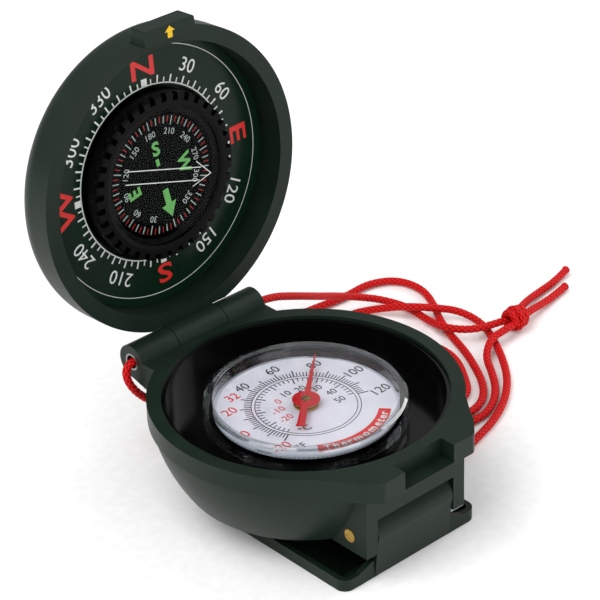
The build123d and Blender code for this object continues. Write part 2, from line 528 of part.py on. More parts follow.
def cord(points):
    """Plain tube along the route, straight runs joined by tangent arcs; the route starts along X."""
    radii = corner_radii(points)
    path = FilletPolyline(*points, radius=radii)
    section = Plane(origin=points[0], z_dir=Vector(*points[1]) - Vector(*points[0])) * Circle(CORD_DIAMETER / 2)
    body = sweep(section, path=path)
    expected = math.pi * (CORD_DIAMETER / 2) ** 2 * path.length
    print(f"cord: length {path.length:.1f}, smallest radius {min(radii):.2f}, volume {body.volume / expected:.4f}")
    return body


def lanyard_knot():
    """Outer shape of the overhand knot that joins the two sides."""
    body = Cylinder(CORD_KNOT_RADIUS, CORD_KNOT_LENGTH)
    body = fillet(body.edges().filter_by(GeomType.CIRCLE), 1.9)
    return Pos(*KNOT_CENTRE) * Rot(0, 0, 12) * Rot(0, 90, 0) * body


def write(name, body, in_lid=False):
    body = opened(body) if in_lid else body
    export_step(body, f"parts/{name}.step")


def main():
    os.makedirs("parts", exist_ok=True)
    write("base_case", base_case())
    write("recess_liner", recess_liner())
    write("hinge_tube", hinge_tube())
    write("flap_pin", flap_pin())
    write("flap_frame", flap_frame())
    write("flap_mirror", flap_mirror())
    write("thermometer_cup", thermometer_cup())
    write("spindle_bush", spindle_bush())
    write("coil_post", coil_post())
    write("bimetal_coil", bimetal_coil())
    write("thermometer_dial", thermometer_dial())
    write("thermometer_bezel", thermometer_bezel())
    write("thermometer_lens", thermometer_lens())
    write("pointer_spindle", pointer_spindle())
    write("pointer", pointer())
    write("pointer_rivet", pointer_rivet())
    write("lid_shell", lid_shell(), True)
    write("index_arrow", index_arrow(), True)
    write("degree_ring", degree_ring(), True)
    write("ring_clip", ring_clip(), True)
    write("bearing_ring", bearing_ring(), True)
    write("capsule_cup", capsule_cup(), True)
    write("fill_plug", fill_plug(), True)
    write("capsule_seal", capsule_seal(), True)
    write("capsule_glass", capsule_glass(), True)
    write("pivot_needle", pivot_needle(), True)
    write("compass_card", compass_card(), True)
    write("card_magnet", card_magnet(), True)
    write("card_jewel", card_jewel(), True)
    write("lanyard_right", cord(RIGHT_ROUTE))
    write("lanyard_left", cord(LEFT_ROUTE))
    write("lanyard_knot", lanyard_knot())


if __name__ == "__main__":
    main()
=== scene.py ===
"""Scene of a folding pocket compass with a thermometer, a mirror flap and a braided lanyard.

The case, the hinge and the instruments come from the CAD frame. This script dresses them in their real
materials and adds what printing, moulding and braiding put on them. Metres, +Z up, +X along the lid hinge.
"""

import json
import logging
import math
from collections.abc import Callable, Sequence
from dataclasses import dataclass, field
from enum import Enum

import bmesh
import bpy
from mathutils import Matrix, Vector

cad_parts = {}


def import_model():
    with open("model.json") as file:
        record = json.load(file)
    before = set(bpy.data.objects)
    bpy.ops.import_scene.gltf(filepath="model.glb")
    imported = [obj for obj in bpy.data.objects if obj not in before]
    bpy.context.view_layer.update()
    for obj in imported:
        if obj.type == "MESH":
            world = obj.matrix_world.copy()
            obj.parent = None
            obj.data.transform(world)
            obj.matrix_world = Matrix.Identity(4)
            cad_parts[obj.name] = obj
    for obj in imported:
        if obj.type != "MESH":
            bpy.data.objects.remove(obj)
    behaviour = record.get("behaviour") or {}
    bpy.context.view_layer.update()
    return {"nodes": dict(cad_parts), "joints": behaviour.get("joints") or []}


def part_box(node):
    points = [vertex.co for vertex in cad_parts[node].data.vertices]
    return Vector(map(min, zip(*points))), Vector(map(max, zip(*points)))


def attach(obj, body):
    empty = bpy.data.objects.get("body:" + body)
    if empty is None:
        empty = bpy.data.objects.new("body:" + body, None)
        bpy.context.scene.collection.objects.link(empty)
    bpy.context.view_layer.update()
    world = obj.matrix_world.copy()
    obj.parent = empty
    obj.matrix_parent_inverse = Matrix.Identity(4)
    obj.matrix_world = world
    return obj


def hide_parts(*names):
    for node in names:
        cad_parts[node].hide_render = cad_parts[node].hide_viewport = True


LOG = logging.getLogger("pocket_compass")
MM = 0.001
CAPITAL_SHARE = 0.72  # height of a capital letter as a share of the font's size
WELD_MM = 1e-5  # corners of artwork closer than this are one corner
NEARLY_ZERO = 1e-6
NEARLY_LEVEL = 1e-3  # upward share of a normal that counts as lying flat

Colour = tuple[float, float, float, float]
Vec3 = tuple[float, float, float]
Vec2 = tuple[float, float]


class Body(Enum):
    """The CAD bodies that printed and braided pieces ride on."""

    BASE = "base"
    LID = "lid"
    BEZEL = "turning_bezel"
    CARD = "card"


class Slot(Enum):
    """The record's material slots, passed with the added pieces but not set on them."""

    PRINT = "green_print"
    DIAL = "white_dial"
    CORD = "red_cord"


# ---- small helpers
def linear(code: str) -> Colour:
    """Turn an sRGB hex colour into the linear colour that a shader socket takes.

    Args:
        code: Six hex digits after a hash.

    Returns:
        Red, green, blue and an alpha of 1.
    """
    parts = [int(code[i:i + 2], 16) / 255 for i in (1, 3, 5)]
    r, g, b = (c / 12.92 if c <= 0.04045 else ((c + 0.055) / 1.055) ** 2.4 for c in parts)
    return (r, g, b, 1.0)


def add(tree: bpy.types.NodeTree, kind: str, feeds: dict | None = None,
        stops: Sequence[tuple[float, str]] = (), **settings: object) -> bpy.types.Node:
    """Add a node, set its options and feed its sockets.

    Args:
        tree: The material's node tree.
        kind: The node's type name.
        feeds: Socket name or number to a value, or to the output socket that feeds it.
        stops: Place and sRGB hex colour of each stop in order, for a node with a colour ramp.
        **settings: The node's own options.

    Returns:
        The new node.
    """
    made = tree.nodes.new(kind)
    for option, value in settings.items():
        setattr(made, option, value)
    for key, value in (feeds or {}).items():
        if isinstance(value, bpy.types.NodeSocket):
            tree.links.new(value, made.inputs[key])
        else:
            made.inputs[key].default_value = value
    if stops:
        spots = made.color_ramp.elements
        while len(spots) < len(stops):
            spots.new(0.5)
        for spot, (place, code) in zip(spots, stops):
            spot.position = place
            spot.color = linear(code)
    return made


def clear_tree(material: bpy.types.Material) -> bpy.types.NodeTree:
    """Turn a material's nodes on, and empty its tree.

    Args:
        material: A new material.

    Returns:
        Its node tree.
    """
    material.use_nodes = True
    material.node_tree.nodes.clear()
    return material.node_tree


def polar(radius: float, angle: float) -> Vec2:
    """Place at a radius and an angle in radians from local X."""
    return radius * math.cos(angle), radius * math.sin(angle)


def curve_mesh(curve: bpy.types.Curve) -> bpy.types.Mesh:
    """Turn a curve into a mesh and drop the curve.

    Args:
        curve: A line, a bevelled line or lettering.

    Returns:
        Its mesh.
    """
    carrier = bpy.data.objects.new(curve.name, curve)
    data = bpy.data.meshes.new_from_object(carrier)
    bpy.data.objects.remove(carrier)
    bpy.data.curves.remove(curve)
    return data


def dress(piece: bpy.types.Object, material: bpy.types.Material) -> None:
    """Give a piece one material in place of all its own."""
    if not piece.material_slots:
        piece.data.materials.append(material)
    for held in piece.material_slots:
        held.material = material


def keep(name: str, data: bpy.types.Mesh, material: bpy.types.Material, body: Body) -> bpy.types.Object:
    """Put a finished mesh in the scene as a piece of the object.

    Args:
        name: The piece's name.
        data: Its mesh, already in place.
        material: Its finish.
        body: The CAD body that it rides on.

    Returns:
        The piece's object.
    """
    data.name = name
    piece = bpy.data.objects.new(name, data)
    bpy.context.scene.collection.objects.link(piece)
    dress(piece, material)
    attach(piece, body.value)
    LOG.info("%s: %d faces on %s", name, len(data.polygons), body.value)
    return piece


# ---- finishes
@dataclass(frozen=True)
class Skin:
    """What the opaque finishes share: colour and gloss that drift a little, over a fine relief."""

    name: str
    low: str
    high: str
    rough: float = 0.4
    drift_mm: float = 1.0
    drift_detail: float = 3.0
    drift_span: Vec2 = (0.3, 0.7)
    rough_from: Vec2 = (0.0, 1.0)
    rough_span: Vec2 = (0.0, 0.0)
    relief_mm: float = 0.4
    relief_detail: float = 2.0
    relief_depth_mm: float = 0.02
    relief: float = 0.25
    stretch: Vec3 = (1.0, 1.0, 1.0)

    def sockets(self) -> dict[str, object]:
        """Values of the shader's sockets that belong to this kind of finish."""
        return {}

    def build(self) -> bpy.types.Material:
        """Make the material from one noise for colour and gloss and one for relief.

        Returns:
            The finished material.
        """
        material = bpy.data.materials.new(self.name)
        tree = clear_tree(material)
        where = add(tree, "ShaderNodeTexCoord").outputs["Object"]
        if self.stretch != Skin.stretch:
            where = add(tree, "ShaderNodeMapping", {"Vector": where,
                                                    "Scale": self.stretch}).outputs["Vector"]
        drift = add(tree, "ShaderNodeTexNoise", {"Vector": where, "Scale": 1 / (self.drift_mm * MM),
                                                 "Detail": self.drift_detail}).outputs["Fac"]
        stops = [(self.drift_span[0], self.low), (self.drift_span[1], self.high)]
        tint = add(tree, "ShaderNodeValToRGB", {"Fac": drift}, stops)
        feeds = {"Base Color": tint.outputs["Color"], "Roughness": self.rough} | self.sockets()
        if any(self.rough_span):
            feeds["Roughness"] = add(tree, "ShaderNodeMapRange", {
                "Value": drift, "From Min": self.rough_from[0], "From Max": self.rough_from[1],
                "To Min": self.rough + self.rough_span[0],
                "To Max": self.rough + self.rough_span[1]}).outputs["Result"]
        if self.relief:
            fine = add(tree, "ShaderNodeTexNoise", {"Vector": where, "Scale": 1 / (self.relief_mm * MM),
                                                    "Detail": self.relief_detail})
            feeds["Normal"] = add(tree, "ShaderNodeBump", {
                "Height": fine.outputs["Fac"], "Strength": self.relief,
                "Distance": self.relief_depth_mm * MM}).outputs["Normal"]
        shader = add(tree, "ShaderNodeBsdfPrincipled", feeds)
        add(tree, "ShaderNodeOutputMaterial", {"Surface": shader.outputs[0]})
        return material


@dataclass(frozen=True)
class SatinAbs(Skin):
    """ABS moulded in a spark-eroded tool: a dark satin skin with a fine grain that breaks up highlights.

    The real grain is 0.1 mm; it is drawn coarser so that it shows.
    """

    name: str = "abs_satin_moulded"
    low: str = "#0f1d14"
    high: str = "#14241a"
    rough: float = 0.42
    drift_mm: float = 9.0
    drift_detail: float = 4.0
    drift_span: Vec2 = (0.3, 0.75)
    rough_span: Vec2 = (-0.05, 0.07)
    relief_mm: float = 0.35
    relief_depth_mm: float = 0.072
    relief: float = 0.35
    shine: float = 0.2

    def sockets(self) -> dict[str, object]:
        """ABS bends light a little more than most plastics."""
        return {"IOR": 1.53, "Specular IOR Level": self.shine}


@dataclass(frozen=True)
class GlossPlastic(Skin):
    """Plastic moulded in a polished tool: mirror-like highlights with a faint orange peel."""

    rough: float = 0.12
    drift_mm: float = 0.5
    drift_span: Vec2 = (0.35, 0.8)
    rough_from: Vec2 = (0.3, 0.8)
    rough_span: Vec2 = (0.0, 0.08)
    relief_mm: float = 3.0
    relief_depth_mm: float = 0.03
    relief: float = 0.3
    shine: float = 0.3

    def sockets(self) -> dict[str, object]:
        """Refraction and shine of a polished plastic."""
        return {"IOR": 1.5, "Specular IOR Level": self.shine}


@dataclass(frozen=True)
class Metal(Skin):
    """Metal worked to a finish: streaks along the way it was turned, drawn or polished."""

    rough: float = 0.25
    drift_mm: float = 0.25
    rough_span: Vec2 = (-0.06, 0.12)
    relief_mm: float = 0.25
    relief_detail: float = 3.0

    def sockets(self) -> dict[str, object]:
        """A metal keeps the shader's own refraction."""
        return {"Metallic": 1.0}


@dataclass(frozen=True)
class Ink(Skin):
    """Screen-printed ink: a thin even layer with slight pinholes and a soft sheen."""

    drift_mm: float = 0.3
    drift_detail: float = 4.0
    drift_span: Vec2 = (0.25, 0.5)
    relief_mm: float = 0.3
    relief_detail: float = 4.0
    relief: float = 0.2
    glow: float = 0.0

    def sockets(self) -> dict[str, object]:
        """Refraction of an ink film, with a faint light of its own where it is luminous."""
        lit = {"Emission Color": linear(self.high), "Emission Strength": self.glow} if self.glow else {}
        return {"IOR": 1.48} | lit


@dataclass(frozen=True)
class EnamelDial(Skin):
    """White stove enamel on a stamped aluminium dial: bright, nearly matt, with a faint cool mottling."""

    name: str = "enamel_white_dial"
    low: str = "#dbdce6"
    high: str = "#e8e8f0"
    rough: float = 0.38
    drift_mm: float = 6.0

    def sockets(self) -> dict[str, object]:
        """Refraction of a stove enamel."""
        return {"IOR": 1.5}


@dataclass(frozen=True)
class PaperBackdrop(Skin):
    """Matt backdrop paper: a pale even white with slightly brighter fibres."""

    name: str = "paper_backdrop"
    low: str = "#f4f4f4"
    high: str = "#fafafa"
    rough: float = 0.9
    drift_mm: float = 2.5
    drift_detail: float = 2.0
    relief: float = 0.0


@dataclass(frozen=True)
class ClearAcrylic:
    """Injection-moulded clear acrylic: seen through, with sharp reflections and a few hairline scuffs.

    Its reflection grows with the slant of the view, as a clear pane's does, and is alike on both faces.
    """

    name: str = "acrylic_clear"
    tint: str = "#fafafb"
    rough: float = 0.03
    scuff_mm: float = 1.2
    gloss: float = 1.0
    square_on: float = 0.035
    grazing: float = 0.9
    slant: float = 5.0

    def build(self) -> bpy.types.Material:
        """Make the material as a thin film: clear, with a reflection on top."""
        material = bpy.data.materials.new(self.name)
        tree = clear_tree(material)
        where = add(tree, "ShaderNodeTexCoord").outputs["Object"]
        scuff = add(tree, "ShaderNodeTexNoise", {"Vector": where, "Scale": 1 / (self.scuff_mm * MM),
                                                 "Detail": 5.0})
        rough = add(tree, "ShaderNodeMapRange", {
            "Value": scuff.outputs["Fac"], "From Min": 0.45, "From Max": 0.8,
            "To Min": self.rough, "To Max": self.rough + 0.06})
        clear = add(tree, "ShaderNodeBsdfTransparent", {"Color": linear(self.tint)})
        shine = add(tree, "ShaderNodeBsdfGlossy", {"Color": linear("#ffffff"),
                                                   "Roughness": rough.outputs["Result"]})
        edge = add(tree, "ShaderNodeLayerWeight", {"Blend": 0.5})
        bend = add(tree, "ShaderNodeMath", {0: edge.outputs["Facing"], 1: self.slant}, operation="POWER")
        share = add(tree, "ShaderNodeMath", {0: bend.outputs[0], 1: self.grazing * self.gloss,
                                             2: self.square_on * self.gloss}, operation="MULTIPLY_ADD")
        film = add(tree, "ShaderNodeMixShader", {0: share.outputs[0], 1: clear.outputs[0],
                                                 2: shine.outputs[0]})
        add(tree, "ShaderNodeOutputMaterial", {"Surface": film.outputs[0]})
        return material


@dataclass(frozen=True)
class BraidedPolyester:
    """Red polyester braid: two sets of yarn bundles that cross over each other, with fine filaments."""

    name: str = "polyester_braid_red"
    # The three colours: the cord's red at mid height, painted shade for the grooves between bundles, and a
    # painted highlight for the bundles' crowns, which the yarn noise breaks into flecks.
    lit: str = "#cc0406"
    deep: str = "#4a0103"
    fleck: str = "#e01012"
    bundles: int = 5
    pitch_mm: float = 1.5
    filament_mm: float = 0.12
    yarn_depth_mm: float = 0.16
    plumpness: float = 0.4

    def weave(self, tree: bpy.types.NodeTree, along: bpy.types.NodeSocket,
              around: bpy.types.NodeSocket) -> tuple[bpy.types.NodeSocket, bpy.types.NodeSocket]:
        """Work out how high the braid stands.

        Args:
            tree: The material's node tree.
            along: Distance along the cord in millimetres.
            around: Turn round the cord, from 0 to 1.

        Returns:
            The height of the crossing bundles, and which set is on top.
        """
        def calc(operation: str, a: object, b: object = 0.5) -> bpy.types.NodeSocket:
            """Add one step of arithmetic."""
            return add(tree, "ShaderNodeMath", {0: a, 1: b}, operation=operation).outputs[0]

        turn = calc("MULTIPLY", around, math.pi * self.bundles)
        run = calc("MULTIPLY", along, math.pi / self.pitch_mm)
        one = calc("SINE", calc("ADD", turn, run))
        two = calc("SINE", calc("SUBTRACT", turn, run))
        top = calc("GREATER_THAN", calc("MULTIPLY", one, two), 0.0)
        rise_one, rise_two = calc("ABSOLUTE", one), calc("ABSOLUTE", two)
        over = calc("MULTIPLY", rise_one, calc("POWER", rise_two, self.plumpness))
        under = calc("MULTIPLY", rise_two, calc("POWER", rise_one, self.plumpness))
        pick = add(tree, "ShaderNodeMix", {"Factor": top, "A": under, "B": over}, data_type="FLOAT")
        return pick.outputs["Result"], top

    def build(self) -> bpy.types.Material:
        """Make the material. The yarn's 0.02 mm filaments are drawn coarser so that they show."""
        material = bpy.data.materials.new(self.name)
        tree = clear_tree(material)
        place = add(tree, "ShaderNodeUVMap", uv_map="braid")
        split = add(tree, "ShaderNodeSeparateXYZ", {"Vector": place.outputs["UV"]})
        height, top = self.weave(tree, split.outputs["X"], split.outputs["Y"])
        slant = add(tree, "ShaderNodeMapRange", {"Value": top, "To Min": -0.7, "To Max": 0.7})
        turned = add(tree, "ShaderNodeVectorRotate", {
            "Vector": place.outputs["UV"], "Angle": slant.outputs["Result"]}, rotation_type="Z_AXIS")
        yarn = add(tree, "ShaderNodeTexNoise", {
            "Vector": turned.outputs["Vector"], "Scale": 1 / self.filament_mm, "Detail": 2.0})
        both = add(tree, "ShaderNodeMath", {0: yarn.outputs["Fac"], 1: 0.3, 2: height},
                   operation="MULTIPLY_ADD")
        # Painted shade and highlight: the colour follows the braid's height, dark in the grooves and bright
        # on the crowns, and the yarn noise stirs it.
        tint = add(tree, "ShaderNodeValToRGB", {"Fac": both.outputs[0]},
                   [(0.15, self.deep), (0.62, self.lit), (1.0, self.fleck)])
        bump = add(tree, "ShaderNodeBump", {"Height": both.outputs[0], "Strength": 0.8,
                                            "Distance": self.yarn_depth_mm * MM})
        shader = add(tree, "ShaderNodeBsdfPrincipled", {
            "Base Color": tint.outputs["Color"], "Roughness": 0.55, "Normal": bump.outputs["Normal"],
            "IOR": 1.5, "Specular IOR Level": 0.18,
            "Sheen Weight": 0.03, "Sheen Roughness": 0.4, "Sheen Tint": linear("#ff5048")})
        add(tree, "ShaderNodeOutputMaterial", {"Surface": shader.outputs[0]})
        return material


# ---- printing
@dataclass
class PrintBed:
    """A flat face that is printed on, and the artwork gathered for one ink.

    Local X runs right and local Y up as the print is read. Sizes given to the methods are in millimetres.
    """

    origin: Vector
    right: Vector
    up: Vector
    proud: float = 0.04
    art: bmesh.types.BMesh = field(default_factory=bmesh.new)

    def matrix(self) -> Matrix:
        """Place of the bed, with millimetres turned to metres."""
        out = self.right.cross(self.up)
        turn = Matrix((self.right, self.up, out)).transposed().to_4x4()
        return Matrix.Translation(self.origin) @ turn @ Matrix.Scale(MM, 4)

    def bar(self, x: float, y: float, long: float, wide: float, angle: float) -> None:
        """Add a bar centred at a point.

        Args:
            x: Centre.
            y: Centre.
            long: Length along its angle.
            wide: Width.
            angle: Direction of its length in radians from local X.
        """
        place = Matrix.Translation((x, y, self.proud / 2)) @ Matrix.Rotation(angle, 4, "Z")
        stretch = Matrix.Diagonal((long, wide, self.proud, 1))
        bmesh.ops.create_cube(self.art, size=1.0, matrix=place @ stretch)

    def spoke(self, inner: float, outer: float, wide: float, angle: float) -> None:
        """Add a tick from one radius to another at an angle in radians from local X."""
        self.bar(*polar((inner + outer) / 2, angle), outer - inner, wide, angle)

    def hoop(self, radius: float, wide: float, start: float = 0.0, sweep: float = math.tau,
             steps: int = 144) -> None:
        """Add a circle or an arc as a swept strip.

        Args:
            radius: Middle of the strip.
            wide: Its width.
            start: First angle in radians.
            sweep: How far it runs; a full turn closes it.
            steps: Facets.
        """
        strip = bmesh.new()
        level = self.proud / 2
        place = Matrix.Rotation(start, 4, "Z") @ Matrix.Translation((radius, 0, level))
        section = place @ Matrix.Diagonal((wide, 1, self.proud, 1)) @ Matrix.Rotation(math.pi / 2, 4, "X")
        bmesh.ops.create_grid(strip, x_segments=1, y_segments=1, size=0.5, matrix=section)
        whole = sweep >= math.tau - NEARLY_ZERO
        bmesh.ops.spin(strip, geom=strip.verts[:] + strip.edges[:] + strip.faces[:], cent=(0, 0, 0),
                       axis=(0, 0, 1), angle=sweep, steps=steps, use_merge=whole, use_duplicate=False)
        bmesh.ops.remove_doubles(strip, verts=strip.verts, dist=WELD_MM)
        if whole:
            # A closed strip still holds its section, as a wall across the inside.
            middles = [(face, face.calc_center_median()) for face in strip.faces]
            walls = [face for face, mid in middles if abs(mid.z - level) < NEARLY_ZERO
                     and abs(face.normal.z) < NEARLY_LEVEL and abs(mid.xy.length - radius) < wide / 4]
            bmesh.ops.delete(strip, geom=walls, context="FACES_ONLY")
        bmesh.ops.recalc_face_normals(strip, faces=strip.faces)
        self.join(strip)

    def shape(self, corners: Sequence[tuple[float, float]]) -> None:
        """Add a flat shape.

        Args:
            corners: Its corners, counter-clockwise.
        """
        flat = bmesh.new()
        face = flat.faces.new([flat.verts.new((x, y, 0)) for x, y in corners])
        grown = bmesh.ops.extrude_face_region(flat, geom=[face])
        lifted = [v for v in grown["geom"] if isinstance(v, bmesh.types.BMVert)]
        bmesh.ops.translate(flat, verts=lifted, vec=(0, 0, self.proud))
        bmesh.ops.recalc_face_normals(flat, faces=flat.faces)
        self.join(flat)

    def word(self, text: str, x: float, y: float, height: float, angle: float = 0.0, bold: float = 0.0,
             squeeze: float = 1.0) -> None:
        """Add lettering centred at a point.

        Args:
            text: What it says.
            x: Centre.
            y: Centre.
            height: Height of its capitals.
            angle: Turn of its baseline in radians from local X.
            bold: How far each outline is swollen.
            squeeze: Width of the letters for their height.
        """
        curve = bpy.data.curves.new("lettering", "FONT")
        curve.body = text
        curve.size = height / CAPITAL_SHARE
        curve.offset = bold
        curve.resolution_u = 3
        curve.extrude = self.proud / 2
        data = curve_mesh(curve)
        letters = bmesh.new()
        letters.from_mesh(data)
        bpy.data.meshes.remove(data)
        bmesh.ops.remove_doubles(letters, verts=letters.verts, dist=WELD_MM)
        spots = [v.co for v in letters.verts]
        mid_x = (min(p.x for p in spots) + max(p.x for p in spots)) / 2
        place = (Matrix.Translation((x, y, self.proud / 2)) @ Matrix.Rotation(angle, 4, "Z")
                 @ Matrix.Diagonal((squeeze, 1, 1, 1)) @ Matrix.Translation((-mid_x, -height / 2, 0)))
        bmesh.ops.transform(letters, matrix=place, verts=letters.verts)
        self.join(letters)

    def join(self, other: bmesh.types.BMesh) -> None:
        """Move another bmesh's shapes into the artwork.

        Args:
            other: The shapes, which are used up.
        """
        carrier = bpy.data.meshes.new("artwork")
        other.to_mesh(carrier)
        self.art.from_mesh(carrier)
        other.free()
        bpy.data.meshes.remove(carrier)

    def finish(self, name: str, material: bpy.types.Material, body: Body, slot: Slot) -> bpy.types.Object:
        """Put the artwork on the object as one piece.

        Args:
            name: The piece's name.
            material: The ink.
            body: The CAD body that carries the print.
            slot: Not used.

        Returns:
            The piece's object.
        """
        bmesh.ops.transform(self.art, matrix=self.matrix(), verts=self.art.verts)
        bmesh.ops.triangulate(self.art, faces=self.art.faces)
        data = bpy.data.meshes.new(name)
        self.art.to_mesh(data)
        self.art.free()
        return keep(name, data, material, body)


@dataclass
class Palette:
    """Every finish on the compass, built once."""

    case: bpy.types.Material = field(default_factory=SatinAbs().build)
    flap: bpy.types.Material = field(default_factory=SatinAbs(
        "abs_satin_flap", high="#13231a", rough=0.36).build)
    ring: bpy.types.Material = field(default_factory=GlossPlastic(
        "abs_gloss_degree_ring", "#0b2114", "#0f281a", rough=0.2, shine=0.16).build)
    liner: bpy.types.Material = field(default_factory=GlossPlastic(
        "abs_gloss_black_liner", "#050505", "#0a0b0b", rough=0.13).build)
    knurl: bpy.types.Material = field(default_factory=SatinAbs(
        "abs_satin_black", "#030303", "#060606", rough=0.4, relief_mm=0.3, relief_depth_mm=0.048,
        shine=0.08).build)
    card: bpy.types.Material = field(default_factory=SatinAbs(
        "card_matt_black", "#070807", "#0a0b0a", rough=0.7, relief_mm=2.0, relief_depth_mm=0.012,
        relief=0.02, shine=0.02).build)
    steel: bpy.types.Material = field(default_factory=Metal(
        "steel_spring_brushed", "#7d7d7a", "#a9a9a6", rough=0.28, stretch=(1, 1, 0.15)).build)
    brass: bpy.types.Material = field(default_factory=Metal(
        "brass_turned", "#9d7a37", "#d2ab58", rough=0.24, drift_mm=0.3, relief_mm=0.3,
        stretch=(0.2, 1, 1)).build)
    mirror: bpy.types.Material = field(default_factory=Metal(
        "glass_silvered", "#dfe3e4", "#e8ebec", rough=0.07, drift_mm=8.0, relief_mm=8.0).build)
    lens: bpy.types.Material = field(default_factory=ClearAcrylic().build)
    rim: bpy.types.Material = field(default_factory=ClearAcrylic(
        "acrylic_polished_rim", "#eceff0", rough=0.06, square_on=0.07, slant=2.6).build)
    window: bpy.types.Material = field(default_factory=ClearAcrylic(
        "acrylic_capsule_window", "#e8ecec", rough=0.05, gloss=0.12).build)
    dial: bpy.types.Material = field(default_factory=EnamelDial().build)
    rubber: bpy.types.Material = field(default_factory=SatinAbs(
        "rubber_nitrile_seal", "#0d0d0d", "#151515", rough=0.7, relief_mm=0.2,
        relief_depth_mm=0.06).build)
    white: bpy.types.Material = field(default_factory=Ink("ink_white", "#cfd4d0", "#e6e9e6").build)
    red: bpy.types.Material = field(default_factory=Ink("ink_red", "#c41a18", "#e02420").build)
    black: bpy.types.Material = field(default_factory=Ink(
        "ink_black", "#28282c", "#17171a", rough=0.35).build)
    glow: bpy.types.Material = field(default_factory=Ink(
        "ink_luminous_green", "#6fc75f", "#8fe07a", rough=0.5, glow=0.08).build)
    paint: bpy.types.Material = field(default_factory=GlossPlastic(
        "lacquer_red_pointer", "#c4161f", "#ad0f18", rough=0.22, relief_mm=1.5).build)
    yellow: bpy.types.Material = field(default_factory=GlossPlastic(
        "plastic_yellow", "#f0c419", "#dca90f", rough=0.3).build)
    braid: bpy.types.Material = field(default_factory=BraidedPolyester().build)

    def dress_frame(self, nodes: dict[str, bpy.types.Object]) -> None:
        """Give every carried-over part its finish.

        Args:
            nodes: The frame's parts by name.
        """
        worn = {
            self.case: ("base_case", "lid_shell"),
            self.flap: ("flap_frame",),
            self.ring: ("degree_ring",),
            self.liner: ("recess_liner", "thermometer_cup"),
            self.knurl: ("bearing_ring", "capsule_cup"),
            self.card: ("compass_card",),
            self.steel: ("ring_clip", "bimetal_coil", "pivot_needle", "card_magnet", "hinge_tube"),
            self.brass: ("flap_pin", "pointer_spindle", "pointer_rivet", "spindle_bush", "coil_post",
                         "fill_plug"),
            self.mirror: ("flap_mirror",),
            self.lens: ("thermometer_lens", "card_jewel"),
            self.rim: ("thermometer_bezel",),
            self.window: ("capsule_glass",),
            self.dial: ("thermometer_dial",),
            self.rubber: ("capsule_seal",),
            self.paint: ("pointer",),
            self.yellow: ("index_arrow",),
            self.braid: ("lanyard_left", "lanyard_right", "lanyard_knot"),
        }
        for finish, names in worn.items():
            for name in names:
                dress(nodes[name], finish)
                LOG.info("%s: %s", name, finish.name)


